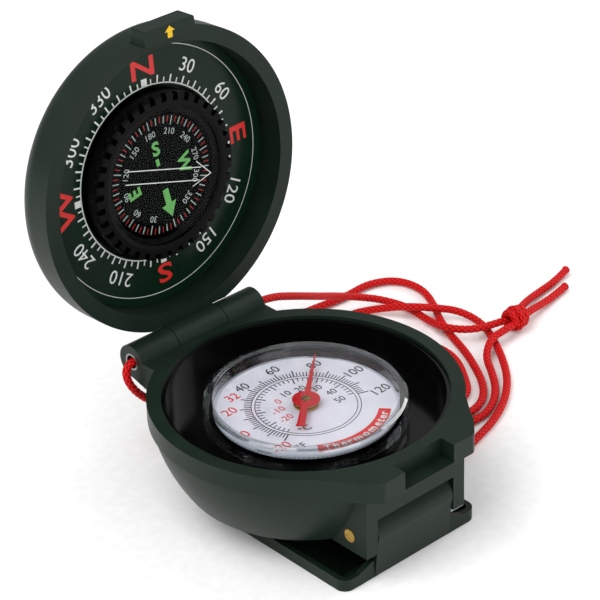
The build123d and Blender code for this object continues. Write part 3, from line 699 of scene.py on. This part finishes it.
# ---- lid instruments
@dataclass
class CompassFace:
    """Everything printed in the lid: the degree ring, the window's sight line and the compass card.

    Depths are behind the lid's rim face, and angles run clockwise from the latch as seen from that side.
    A tick's two numbers are its length and width. Points out from the centre are given as a distance along
    their own direction and one across it.
    """

    centre: Vector
    normal: Vector
    ring_depth: float = 7.5
    ring_inner: float = 21.9
    ring_outer: float = 31.25
    ring_inner_line: float = 0.3
    ring_outer_line: float = 0.16
    ring_tens: Vec2 = (2.0, 0.42)
    ring_fives: Vec2 = (1.35, 0.34)
    ring_quarters: Vec2 = (1.9, 1.7)
    ring_numbers: float = 26.7
    ring_number_height: float = 3.5
    ring_points: tuple[tuple[int, str], ...] = ((0, "N"), (88, "E"), (180, "S"), (270, "W"))
    ring_point_height: float = 4.9
    window_depth: float = 2.9
    sight_centre: Vec2 = (-0.7, 0.6)
    sight_course: Vec2 = (22.4, -6.75)
    sight_half_gap: float = 1.6
    sight_long: float = 22.8
    sight_wide: float = 0.2
    sight_tip: float = 14.8
    sight_barb: Vec2 = (9.6, 3.1)
    card_depth: float = 4.75
    card_north: float = 170.0
    card_edge: float = 14.6
    card_thirties: Vec2 = (2.2, 0.26)
    card_tens: Vec2 = (1.8, 0.26)
    card_fives: Vec2 = (1.5, 0.24)
    card_numbers: float = 10.9
    card_number_height: float = 1.6
    card_points: tuple[tuple[str, float, int], ...] = (("S", 7.2, 184), ("W", 7.4, 274), ("E", 8.6, 87))
    card_point_height: float = 3.5
    card_south_bar: Vec3 = (2.6, 4.4, 0.95)
    card_arrow: tuple[Vec2, ...] = (
        (4.0, -0.85), (8.0, -0.85), (8.0, -2.2), (11.6, 0), (8.0, 2.2), (8.0, 0.85), (4.0, 0.85))

    def bed(self, depth: float) -> PrintBed:
        """A print bed this many millimetres behind the rim face."""
        right = Vector((1, 0, 0))
        return PrintBed(self.centre - self.normal * depth * MM, right, self.normal.cross(right))

    @staticmethod
    def math_angle(clock: float) -> float:
        """Turn degrees clockwise from the latch into radians from local X."""
        return math.radians(90.0 - clock)

    def ring_letters(self, bed: PrintBed, marks: Sequence[tuple[int, str]], height: float,
                     bold: float = 0.0, squeeze: float = 1.0) -> None:
        """Print a set of labels round the degree ring with their tops outward."""
        for clock, text in marks:
            a = self.math_angle(clock)
            bed.word(text, *polar(self.ring_numbers, a), height, a - math.pi / 2, bold, squeeze)

    def degree_ring(self, inks: Palette) -> None:
        """Print the ring's scale: white circles, ticks and numbers, and red compass points.

        Args:
            inks: The palette.
        """
        white = self.bed(self.ring_depth)
        white.hoop(self.ring_inner, self.ring_inner_line)
        white.hoop(self.ring_outer, self.ring_outer_line)
        for clock in range(0, 360, 5):
            tens = self.ring_tens if clock % 90 else self.ring_quarters
            long, wide = self.ring_fives if clock % 10 else tens
            white.spoke(self.ring_inner, self.ring_inner + long, wide, self.math_angle(clock))
        numbers = [(clock, str(clock)) for clock in range(30, 360, 30) if clock % 90]
        self.ring_letters(white, numbers, self.ring_number_height)
        white.finish("degree_ring_print_white", inks.white, Body.LID, Slot.PRINT)
        red = self.bed(self.ring_depth)
        self.ring_letters(red, self.ring_points, self.ring_point_height, bold=0.12, squeeze=1.5)
        red.finish("degree_ring_print_red", inks.red, Body.LID, Slot.PRINT)

    def sight_line(self, inks: Palette) -> None:
        """Print the window's orienting arrow: two parallel lines and an arrowhead.

        Args:
            inks: The palette.
        """
        bed = self.bed(self.window_depth)
        bed.proud = 0.03
        slope = math.atan2(self.sight_course[1], self.sight_course[0])
        along, across = Vector(polar(1.0, slope)), Vector(polar(1.0, slope + math.pi / 2))
        centre = Vector(self.sight_centre)
        tip = centre + along * self.sight_tip
        for side in (-1, 1):
            bed.bar(*(centre + across * self.sight_half_gap * side), self.sight_long, self.sight_wide, slope)
            barb = centre + along * self.sight_barb[0] + across * self.sight_barb[1] * side
            lay = tip - barb
            bed.bar(*((tip + barb) / 2), lay.length, self.sight_wide, math.atan2(lay.y, lay.x))
        bed.finish("window_sight_line", inks.white, Body.BEZEL, Slot.PRINT)

    def card(self, inks: Palette) -> None:
        """Print the card: white and red ticks, white numbers and luminous compass points.

        Args:
            inks: The palette.
        """
        white, red, glow = (self.bed(self.card_depth) for _ in range(3))
        for label in range(0, 360, 5):
            a = self.math_angle(self.card_north + label)
            tens = self.card_tens if label % 30 else self.card_thirties
            ink, (long, wide) = (red, self.card_fives) if label % 10 else (white, tens)
            ink.spoke(self.card_edge - long, self.card_edge, wide, a)
            if label and label % 30 == 0:
                white.word(str(label), *polar(self.card_numbers, a), self.card_number_height,
                           a - math.pi / 2)
        white.finish("card_print_white", inks.white, Body.CARD, Slot.PRINT)
        red.finish("card_print_red", inks.red, Body.CARD, Slot.PRINT)
        for text, radius, label in self.card_points:
            a = self.math_angle(self.card_north + label)
            glow.word(text, *polar(radius, a), self.card_point_height, a - math.pi / 2, bold=0.16)
        glow.spoke(*self.card_south_bar, self.math_angle(self.card_north + 180))
        north = self.math_angle(self.card_north)
        lie, across = Vector(polar(1.0, north)), Vector(polar(1.0, north + math.pi / 2))
        glow.shape([tuple(lie * out + across * side) for out, side in self.card_arrow])
        glow.finish("card_print_luminous", inks.glow, Body.CARD, Slot.PRINT)


# ---- thermometer
@dataclass
class ThermometerFace:
    """The dial's printing: an outer Fahrenheit scale, an inner Celsius scale and a labelled red band.

    Angles are in degrees from local X. A scale's two tick lengths are a plain tick's and a tenth one's.
    """

    plane_z: float
    ring: float = 12.4
    freezing: float = 123.0
    degree: float = 1.65
    circle_gap: float = 0.84
    circle_wide: float = 0.17
    tick_wide: float = 0.24
    tens_wide: float = 0.3
    fahrenheit_ticks: Vec2 = (1.7, 2.7)
    celsius_ticks: Vec2 = (1.3, 2.2)
    outer_numbers: float = 17.9
    outer_height: float = 2.8
    inner_numbers: float = 7.5
    inner_height: float = 2.1
    units: tuple[tuple[str, float, float], ...] = (("°C", 9.8, -134.5), ("°F", 16.9, -136.5))
    band_radius: float = 18.35
    band_from: float = -124.5
    band_to: float = -49.5
    band_wide: float = 2.9
    label_height: float = 2.15
    label_drop: float = 0.05
    label_share: float = 0.9
    black_shift: Vec2 = (0.5, -0.4)
    red_shift: Vec2 = (-0.2, -0.2)

    def bed(self) -> PrintBed:
        """A print bed on the dial."""
        return PrintBed(Vector((0, 0, self.plane_z)), Vector((1, 0, 0)), Vector((0, 1, 0)))

    def fahrenheit(self, value: float) -> float:
        """Angle of a Fahrenheit reading in degrees from local X."""
        return self.freezing - (value - 32.0) * self.degree

    def celsius(self, value: float) -> float:
        """Angle of a Celsius reading in degrees from local X."""
        return self.fahrenheit(value * 1.8 + 32.0)

    def ticks(self, bed: PrintBed, values: Sequence[int], place: Callable[[float], float], lengths: Vec2,
              outward: int) -> None:
        """Print a scale's ticks from its circle.

        Args:
            bed: The bed.
            values: The readings that have a tick.
            place: Angle of a reading.
            lengths: A plain tick's length and a tenth one's.
            outward: 1 for ticks that stand outside the two circles, -1 for inside.
        """
        circle = self.ring + outward * self.circle_gap / 2
        for value in values:
            tenth = value % 10 == 0
            ends = sorted((circle, circle + outward * lengths[tenth]))
            bed.spoke(*ends, self.tens_wide if tenth else self.tick_wide, math.radians(place(value)))

    def numbers(self, bed: PrintBed, values: Sequence[int], place: Callable[[float], float], radius: float,
                height: float, shift: Vec2) -> None:
        """Print upright numbers round the dial, each moved a little off its own angle."""
        for value in values:
            x, y = polar(radius, math.radians(place(value)))
            bed.word(str(value), x + shift[0], y + shift[1], height, squeeze=0.95)

    def build(self, inks: Palette) -> None:
        """Print the whole dial.

        Args:
            inks: The palette.
        """
        black, red, white = self.bed(), self.bed(), self.bed()
        white.proud = 0.08
        for side in (-1, 1):
            black.hoop(self.ring + side * self.circle_gap / 2, self.circle_wide)
        self.ticks(black, range(-20, 121, 2), self.fahrenheit, self.fahrenheit_ticks, 1)
        self.ticks(black, range(-28, 50, 2), self.celsius, self.celsius_ticks, -1)
        outer, inner = (self.outer_numbers, self.outer_height), (self.inner_numbers, self.inner_height)
        self.numbers(black, (40, 60, 80, 100, 120), self.fahrenheit, *outer, self.black_shift)
        self.numbers(black, (10, 20, 30, 40, 50), self.celsius, *inner, self.black_shift)
        self.numbers(red, (-20, 0, 20, 32), self.fahrenheit, *outer, self.red_shift)
        self.numbers(red, (-20, -10, 0), self.celsius, *inner, self.black_shift)
        for unit, radius, angle in self.units:
            black.word(unit, *polar(radius, math.radians(angle)), self.inner_height)
        start, end = math.radians(self.band_from), math.radians(self.band_to)
        red.hoop(self.band_radius, self.band_wide, start, end - start, 32)
        self.label(white, "Thermometer")
        black.finish("dial_print_black", inks.black, Body.BASE, Slot.DIAL)
        red.finish("dial_print_red", inks.red, Body.BASE, Slot.DIAL)
        white.finish("dial_print_white", inks.white, Body.BASE, Slot.DIAL)

    def label(self, bed: PrintBed, text: str) -> None:
        """Print the band's word letter by letter along its arc, read from below.

        Args:
            bed: The bed.
            text: The word, in letters that have their room below.
        """
        # Room that each letter takes, as a share of the others'.
        room = {"T": 1.25, "h": 1.15, "m": 1.7, "t": 0.8, "r": 0.8, "o": 1.15, "e": 1.1}
        total = sum(room[letter] for letter in text)
        reach = math.radians(self.band_to - self.band_from) * self.label_share
        a = (math.radians(self.band_from) + math.radians(self.band_to)) / 2 - reach / 2
        for letter in text:
            step = reach * room[letter] / total
            mid = a + step / 2
            bed.word(letter, *polar(self.band_radius - self.label_drop, mid), self.label_height,
                     mid + math.pi / 2, bold=0.06)
            a += step


# ---- lanyard
@dataclass
class Lanyard:
    """Braided cord through the tubular hinge pin: two sides that meet in an overhand knot.

    Sizes are in millimetres, but for the axis and the lengths, which are in metres. The height of a strand's
    middle where it lies on the ground is named lie.
    """

    axis_y: float
    axis_z: float
    barrel: float = 19.5
    thick: float = 2.2
    lie: float = 1.15
    right_length: float = 0.1591
    left_length: float = 0.5868
    step: float = 0.26
    sides: int = 24
    relief: float = 0.12
    mean_rise: float = 0.7
    knot_at: Vec3 = (89.3, 17.0, 3.5)
    knot_heading: float = 12.0
    finish: BraidedPolyester = field(default_factory=BraidedPolyester)

    def right_route(self) -> list[Vec3]:
        """Points that the short side follows, in millimetres."""
        y, z, end, lie = self.axis_y / MM, self.axis_z / MM, self.barrel, self.lie
        return [
            (0, y, z), (end - 7.3, y, z - 0.06), (end + 4.9, y, z - 0.25), (end + 15.6, y + 1.85, z - 5.25),
            (46.4, 46.2, 16), (57.4, 50.9, 9.6), (67, 53.2, 4.4), (74, 51, 1.6),
            (76.6, 43.6, lie), (74.8, 35.2, 1.6), (72.6, 26.9, 3.6), (76.4, 21.1, 3.6), (82.6, 18.8, 3.6),
            (88.2, 18, 3.4), (93.6, 19.8, 3.1), (100.2, 22.8, 2), (107.5, 24.6, lie), (114.4, 25.4, 1.2),
            (120.4, 27.2, 1.5)]

    def left_route(self) -> list[Vec3]:
        """Points that the long side follows, in millimetres."""
        y, z, end, lie = self.axis_y / MM, self.axis_z / MM, self.barrel, self.lie
        return [
            (0, y, z), (-end + 10.9, y + 0.05, z), (-end + 3.1, y, z), (-end - 1.8, y - 0.1, z - 0.15),
            (-end - 2.7, y - 1.05, z - 3.25), (-end - 0.7, y - 1.95, z - 7.45),
            (-end + 4.9, y - 1.35, z - 13.05),
            (-6.8, 41.6, 9.2), (2.6, 45.6, 4.4), (13, 50.6, 1.6), (25, 55.4, lie), (37.2, 59.6, lie),
            (48.8, 62, lie), (59.6, 61, lie), (68.6, 59.6, lie), (77.5, 60.5, lie), (84.6, 56.6, lie),
            (86.2, 48.4, lie), (82.4, 40.1, lie), (77.4, 32.8, lie), (74, 25.4, lie), (71.2, 17.8, lie),
            (67.6, 10.8, lie), (63.6, 4.2, lie), (59.2, -0.6, lie), (54.2, -3.4, lie), (48.4, -3.6, lie),
            (43.4, -0.6, lie), (41, 4.8, lie), (41.2, 11.2, lie), (43.4, 18.8, lie), (48, 26, lie),
            (54.6, 31, lie), (61.6, 31.6, lie), (66.6, 27.8, lie), (67.8, 21.6, lie), (66.2, 15.4, lie),
            (62.6, 9.8, lie), (57.7, 3.2, lie), (52.5, 1.8, lie), (47.9, 3.9, lie), (45.5, 8.6, lie),
            (46.4, 14.4, lie), (48.6, 20.2, 2), (50.6, 26.2, 3.8), (51.8, 32.4, 3.6), (51.8, 38.8, 1.4),
            (53, 45.4, lie), (57.2, 50.4, lie), (63.4, 52.2, lie), (69, 49, 1.5), (72.8, 41.6, 3.9),
            (77.4, 35.8, 3.9), (82.8, 31.2, 2.8), (84.4, 23.8, lie), (79.6, 14.9, lie), (74.8, 7.6, lie),
            (69, 0.5, lie), (61.6, -5.6, lie), (53.2, -10, lie), (45.4, -12.4, lie), (39.2, -14, lie),
            (33.3, -13.6, lie), (28.4, -11.2, lie), (26.1, -6.1, lie), (27.6, -0.8, lie), (32.3, 2.1, lie),
            (37.8, 1.2, lie), (41.4, -3.2, lie), (46.6, -6.6, lie), (52.8, -7, lie), (58.5, -4.6, lie),
            (63.8, -0.3, lie), (68.4, 5.4, lie), (72.2, 11.4, 1.6), (77.2, 14.3, 3.6), (82.8, 14.6, 3.7),
            (88.6, 15.6, 3.3), (94.8, 17.4, 3), (101.2, 18.8, 1.9), (107.6, 20.2, lie), (113.9, 21.6, 1.2)]

    def knot_route(self) -> list[Vec3]:
        """Points of the knot's wraps, in millimetres from its centre, along its own axis first."""
        return [
            (-2.3, -1.9, -0.6), (-2.2, -1.2, 2.3), (-1.6, 1.9, 2.3), (-1.3, 2.6, -1.1), (-0.9, 0.4, -2.6),
            (-0.5, -2.4, -1.5), (-0.2, -2.3, 1.7), (0.3, 0.5, 2.9), (0.7, 2.7, 0.9), (0.9, 1.9, -2.1),
            (1.3, -1.6, -2.4), (1.7, -2.6, 0.6), (2.1, -0.6, 2.4), (2.2, 1.9, 1.2), (1.9, 1.6, -1.2)]

    def smooth_line(self, name: str, route: Sequence[Vec3]) -> list[Vector]:
        """Lay a smooth NURBS line along a route and read its points.

        Args:
            name: A name for the line.
            route: Its control points in millimetres.

        Returns:
            Points along the line in metres.
        """
        curve = bpy.data.curves.new(name, "CURVE")
        curve.dimensions = "3D"
        spline = curve.splines.new("NURBS")
        spline.points.add(len(route) - 1)
        for point, spot in zip(spline.points, route):
            point.co = (*(c * MM for c in spot), 1.0)
        spline.order_u = 3
        spline.use_endpoint_u = True
        spline.resolution_u = 12
        data = curve_mesh(curve)
        line = [v.co.copy() for v in data.vertices]
        bpy.data.meshes.remove(data)
        return line

    def even(self, line: Sequence[Vector]) -> list[Vector]:
        """Space a line's points evenly.

        Args:
            line: Points in metres.

        Returns:
            The same line with a point every step.
        """
        total = sum((b - a).length for a, b in zip(line, line[1:]))
        count = max(8, round(total / (self.step * MM)))
        spaced, walked, i = [line[0].copy()], 0.0, 0
        for k in range(1, count):
            want = total * k / count
            while walked + (line[i + 1] - line[i]).length < want:
                walked += (line[i + 1] - line[i]).length
                i += 1
            part = (want - walked) / (line[i + 1] - line[i]).length
            spaced.append(line[i].lerp(line[i + 1], part))
        return spaced + [line[-1].copy()]

    def swell(self, along: float, around: float) -> float:
        """How far the braid stands out at a place, from 0 to 1.

        Args:
            along: Millimetres along the cord.
            around: Turn round it, from 0 to 1.

        Returns:
            The share of the relief.
        """
        turn, run = math.pi * self.finish.bundles * around, math.pi * along / self.finish.pitch_mm
        one, two = math.sin(turn + run), math.sin(turn - run)
        first, second = (one, two) if one * two > 0 else (two, one)
        return abs(first) * abs(second) ** self.finish.plumpness

    def braid(self, name: str, line: Sequence[Vector]) -> bpy.types.Mesh:
        """Sweep a round section along a line and raise the braid on it.

        Args:
            name: The mesh's name.
            line: Evenly spaced points in metres.

        Returns:
            A mesh with a UV map of millimetres along and turns around.
        """
        curve = bpy.data.curves.new(name, "CURVE")
        curve.dimensions = "3D"
        curve.twist_mode = "MINIMUM"
        curve.bevel_depth = self.thick / 2 * MM
        curve.bevel_resolution = self.sides // 2 - 2
        curve.use_fill_caps = True
        spline = curve.splines.new("POLY")
        spline.points.add(len(line) - 1)
        for point, spot in zip(spline.points, line):
            point.co = (*spot, 1.0)
        data = curve_mesh(curve)
        rings = len(line)
        sides = len(data.vertices) // rings
        gap = (line[1] - line[0]).length / MM
        for ring in range(1, rings - 1):
            for side in range(sides):
                vertex = data.vertices[ring * sides + side]
                out = (vertex.co - line[ring]).normalized()
                rise = self.swell(ring * gap, side / sides)
                vertex.co = line[ring] + out * (self.thick / 2 + self.relief * (rise - self.mean_rise)) * MM
        layer = data.uv_layers.new(name="braid")
        for face in data.polygons:
            spots = [divmod(v, sides) for v in face.vertices]
            wraps = max(s for _, s in spots) - min(s for _, s in spots) > sides / 2
            for loop, (ring, side) in zip(face.loop_indices, spots):
                turn = 1.0 if wraps and side == 0 else side / sides
                layer.data[loop].uv = (ring * gap, turn)
        data.polygons.foreach_set("use_smooth", [True] * len(data.polygons))
        return data

    def build(self, inks: Palette) -> None:
        """Args:
            inks: The palette.
        """
        right_line = self.smooth_line("right_line", self.right_route())
        left_line = self.smooth_line("left_line", self.left_route())
        place = (Matrix.Translation(Vector(self.knot_at) * MM)
                 @ Matrix.Rotation(math.radians(self.knot_heading), 4, "Z"))
        knot_line = [place @ spot for spot in self.smooth_line("knot_line", self.knot_route())]
        right, left, knot = (
            keep(name, self.braid(name, self.even(line)), inks.braid, Body.BASE)
            for name, line in (("lanyard_short_side", right_line), ("lanyard_long_side", left_line),
                               ("lanyard_overhand_knot", knot_line)))
        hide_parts("lanyard_right")
        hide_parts("lanyard_left")
        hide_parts("lanyard_knot")


# ---- studio
@dataclass(frozen=True)
class SoftBox:
    """One soft studio light."""

    name: str
    at: Vec3
    aim: Vec3
    size: float
    power: float
    colour: str = "#ffffff"

    def build(self) -> None:
        """Put the light in the scene, facing its aim."""
        lamp = bpy.data.lights.new(self.name, "AREA")
        lamp.shape = "SQUARE"
        lamp.size = self.size
        lamp.energy = self.power
        lamp.color = linear(self.colour)[:3]
        holder = bpy.data.objects.new(self.name, lamp)
        look = Vector(self.aim) - Vector(self.at)
        turn = look.to_track_quat("-Z", "Y").to_matrix().to_4x4()
        holder.matrix_world = Matrix.Translation(self.at) @ turn
        bpy.context.scene.collection.objects.link(holder)


@dataclass
class Studio:
    """A plain pale floor, soft lights and the camera."""

    floor_size: float = 3.0
    floor_drop_mm: float = 0.1
    sky_colour: str = "#ffffff"
    sky_strength: float = 0.42
    camera_at: Vec3 = (-0.32392, -0.36321, 0.33726)
    azimuth: float = -41.65
    elevation: float = 30.27
    roll: float = -1.89
    lens: float = 149.3
    lights: tuple[SoftBox, ...] = (
        SoftBox("key_softbox", (-0.8, 0.1, 1.3), (0.0, 0.0, 0.03), 1.3, 21.0),
        SoftBox("front_fill", (-0.1, -1.2, 0.6), (0.0, 0.0, 0.02), 0.9, 5.5),
        SoftBox("side_rim", (1.2, -0.1, 0.8), (0.0, 0.0, 0.03), 0.8, 7.0),
    )

    def floor(self) -> None:
        """Lay the floor just under the object."""
        mesh = bmesh.new()
        bmesh.ops.create_grid(mesh, x_segments=1, y_segments=1, size=self.floor_size / 2)
        data = bpy.data.meshes.new("studio_floor")
        mesh.to_mesh(data)
        mesh.free()
        data.transform(Matrix.Translation((0, 0, -self.floor_drop_mm * MM)))
        piece = bpy.data.objects.new("studio_floor", data)
        bpy.context.scene.collection.objects.link(piece)
        dress(piece, PaperBackdrop().build())

    def sky(self) -> None:
        """Light the scene evenly from all round."""
        world = bpy.data.worlds.new("studio")
        world.use_nodes = True
        back = world.node_tree.nodes["Background"]
        back.inputs["Color"].default_value = linear(self.sky_colour)
        back.inputs["Strength"].default_value = self.sky_strength
        bpy.context.scene.world = world
        bpy.context.scene.view_settings.view_transform = "Standard"

    def camera(self) -> None:
        """Set the camera by its place, direction and roll."""
        az, el, roll = (math.radians(a) for a in (self.azimuth, self.elevation, self.roll))
        right = Vector((math.cos(az), math.sin(az), 0))
        back = Vector((math.sin(az) * math.cos(el), -math.cos(az) * math.cos(el), math.sin(el)))
        up = back.cross(right)
        c, s = math.cos(roll), math.sin(roll)
        across, over = right * c + up * s, up * c - right * s
        data = bpy.data.cameras.new("camera")
        data.lens = self.lens
        data.sensor_width = 36.0
        data.clip_start = 0.01
        holder = bpy.data.objects.new("camera", data)
        turn = Matrix((across, over, back)).transposed().to_4x4()
        holder.matrix_world = Matrix.Translation(self.camera_at) @ turn
        bpy.context.scene.collection.objects.link(holder)
        bpy.context.scene.camera = holder

    def build(self) -> None:
        """Make the whole studio."""
        self.floor()
        self.sky()
        self.camera()
        for light in self.lights:
            light.build()


def main() -> None:
    """Build the scene in order."""
    logging.basicConfig(level=logging.INFO, format="%(name)s: %(message)s")
    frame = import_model()
    joints = {joint["name"]: joint for joint in frame["joints"]}
    Studio().build()
    inks = Palette()
    inks.dress_frame(frame["nodes"])
    low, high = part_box("hinge_tube")
    Lanyard((low.y + high.y) / 2, (low.z + high.z) / 2).build(inks)
    turn = joints["bezel_turn"]
    face = CompassFace(Vector(turn["pos_m"]), Vector(turn["axis"]).normalized())
    face.degree_ring(inks)
    face.sight_line(inks)
    face.card(inks)
    ThermometerFace(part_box("thermometer_dial")[1].z).build(inks)


if __name__ == "__main__":
    main()
